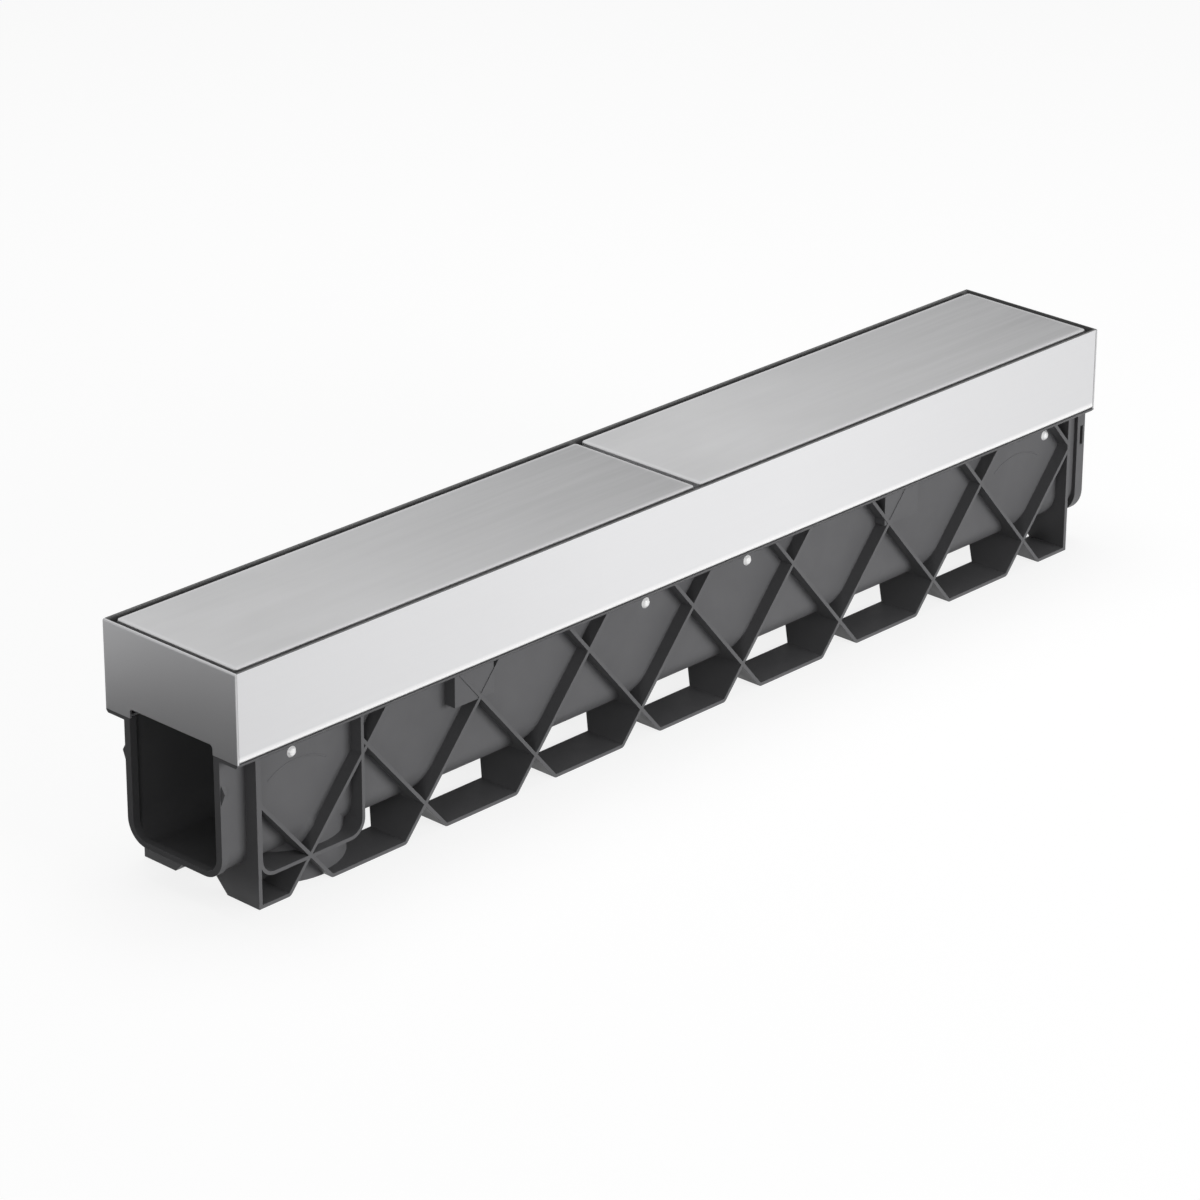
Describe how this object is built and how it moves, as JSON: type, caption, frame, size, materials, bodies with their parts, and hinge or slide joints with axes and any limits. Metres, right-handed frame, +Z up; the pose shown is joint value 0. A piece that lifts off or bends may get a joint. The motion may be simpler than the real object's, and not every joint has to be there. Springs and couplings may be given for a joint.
{
  "type": "channel drain",
  "caption": "Straight channel drain: moulded trough with lattice ribs and feet, steel frame on top, and flat lay-in covers that take water in through the slot round them.",
  "frame": {"origin": "middle of the overall length and width, at the underside of the feet", "axes": "+X along the channel from the spigot end to the socket end, +Y across it, +Z up to the covers"},
  "size_m": [1.01, 0.145, 0.2025],
  "materials": {
    "moulded_body": "satin moulded polypropylene, dark grey",
    "frame_sheet": "smooth galvanised sheet",
    "cover_sheet": "dull galvanised sheet with soft clouding",
    "strip_rubber": "matt black rubber",
    "rivet_steel": "bright plated steel"
  },
  "bodies": {
    "root": {"channel_body": "moulded_body", "front_rail": "frame_sheet", "back_rail": "frame_sheet", "near_end_plate": "frame_sheet", "far_end_plate": "frame_sheet", "near_cover": "cover_sheet", "far_cover": "cover_sheet", "near_cover_stiffener": "cover_sheet", "far_cover_stiffener": "cover_sheet", "support_bar_1": "frame_sheet", "support_bar_2": "frame_sheet", "support_bar_3": "frame_sheet", "support_bar_4": "frame_sheet", "support_bar_5": "frame_sheet", "bearing_strip_1": "strip_rubber", "bearing_strip_2": "strip_rubber", "bearing_strip_3": "strip_rubber", "bearing_strip_4": "strip_rubber", "bearing_strip_5": "strip_rubber", "front_rivets": "rivet_steel", "back_rivets": "rivet_steel"}
  },
  "joints": []
}
